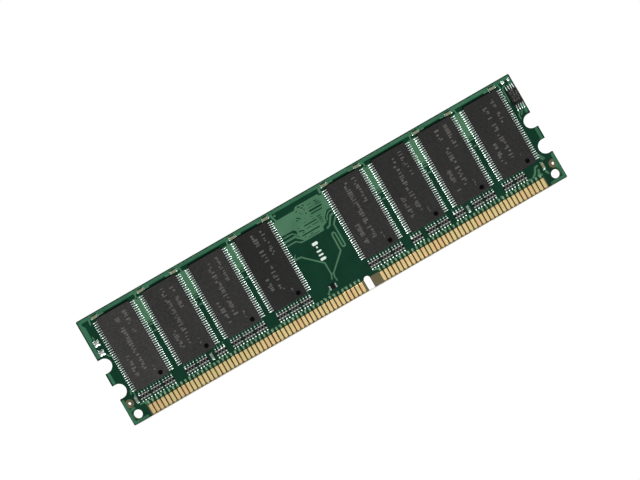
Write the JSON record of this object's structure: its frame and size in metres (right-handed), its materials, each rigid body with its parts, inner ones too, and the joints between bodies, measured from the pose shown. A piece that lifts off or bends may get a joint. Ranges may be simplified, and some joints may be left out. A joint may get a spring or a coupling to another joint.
{
  "type": "ram module",
  "caption": "Desktop computer memory module: a green circuit board with a row of black memory chips, small surface-mount parts, gold edge contacts, a key slot and latch notches.",
  "frame": {"origin": "middle of the contact edge, at the board's mid thickness, as the module stands in its socket", "axes": "+X along the contact edge, from the long row of contacts towards the short row; -Y out of the face that carries the chips; +Z away from the socket"},
  "size_m": [0.1334, 0.0023, 0.0318],
  "materials": {
    "board_laminate": "green solder mask over glass-epoxy laminate, semi-gloss",
    "contact_gold": "gold plate, lightly worn",
    "mould_compound": "fine matt moulding texture",
    "lead_tin": "bright tin plate and solder",
    "silicon": "polished",
    "capacitor_ceramic": "fine matt ceramic",
    "resistor_glaze": "black glaze"
  },
  "bodies": {
    "root": {"circuit_board": "board_laminate", "front_contacts_long": "contact_gold", "front_contacts_short": "contact_gold", "back_contacts_long": "contact_gold", "back_contacts_short": "contact_gold", "memory_package_1": "mould_compound", "memory_lead_frame_1": "lead_tin", "memory_die_1": "silicon", "memory_package_2": "mould_compound", "memory_lead_frame_2": "lead_tin", "memory_die_2": "silicon", "memory_package_3": "mould_compound", "memory_lead_frame_3": "lead_tin", "memory_die_3": "silicon", "memory_package_4": "mould_compound", "memory_lead_frame_4": "lead_tin", "memory_die_4": "silicon", "memory_package_5": "mould_compound", "memory_lead_frame_5": "lead_tin", "memory_die_5": "silicon", "memory_package_6": "mould_compound", "memory_lead_frame_6": "lead_tin", "memory_die_6": "silicon", "memory_package_7": "mould_compound", "memory_lead_frame_7": "lead_tin", "memory_die_7": "silicon", "memory_package_8": "mould_compound", "memory_lead_frame_8": "lead_tin", "memory_die_8": "silicon", "config_package": "mould_compound", "config_lead_frame": "lead_tin", "config_die": "silicon", "decoupling_capacitor_01": "capacitor_ceramic", "decoupling_capacitor_02": "capacitor_ceramic", "decoupling_capacitor_03": "capacitor_ceramic", "decoupling_capacitor_04": "capacitor_ceramic", "decoupling_capacitor_05": "capacitor_ceramic", "decoupling_capacitor_06": "capacitor_ceramic", "decoupling_capacitor_07": "capacitor_ceramic", "decoupling_capacitor_08": "capacitor_ceramic", "decoupling_capacitor_09": "capacitor_ceramic", "decoupling_capacitor_10": "capacitor_ceramic", "line_capacitor_1": "capacitor_ceramic", "line_capacitor_2": "capacitor_ceramic", "line_capacitor_3": "capacitor_ceramic", "line_capacitor_4": "capacitor_ceramic", "resistor_array_block_01": "resistor_glaze", "resistor_array_block_02": "resistor_glaze", "resistor_array_block_03": "resistor_glaze", "resistor_array_block_04": "resistor_glaze", "resistor_array_block_05": "resistor_glaze", "resistor_array_block_06": "resistor_glaze", "resistor_array_block_07": "resistor_glaze", "resistor_array_block_08": "resistor_glaze", "resistor_array_block_09": "resistor_glaze", "resistor_array_block_10": "resistor_glaze", "resistor_array_block_11": "resistor_glaze", "series_resistor": "resistor_glaze"}
  },
  "joints": []
}
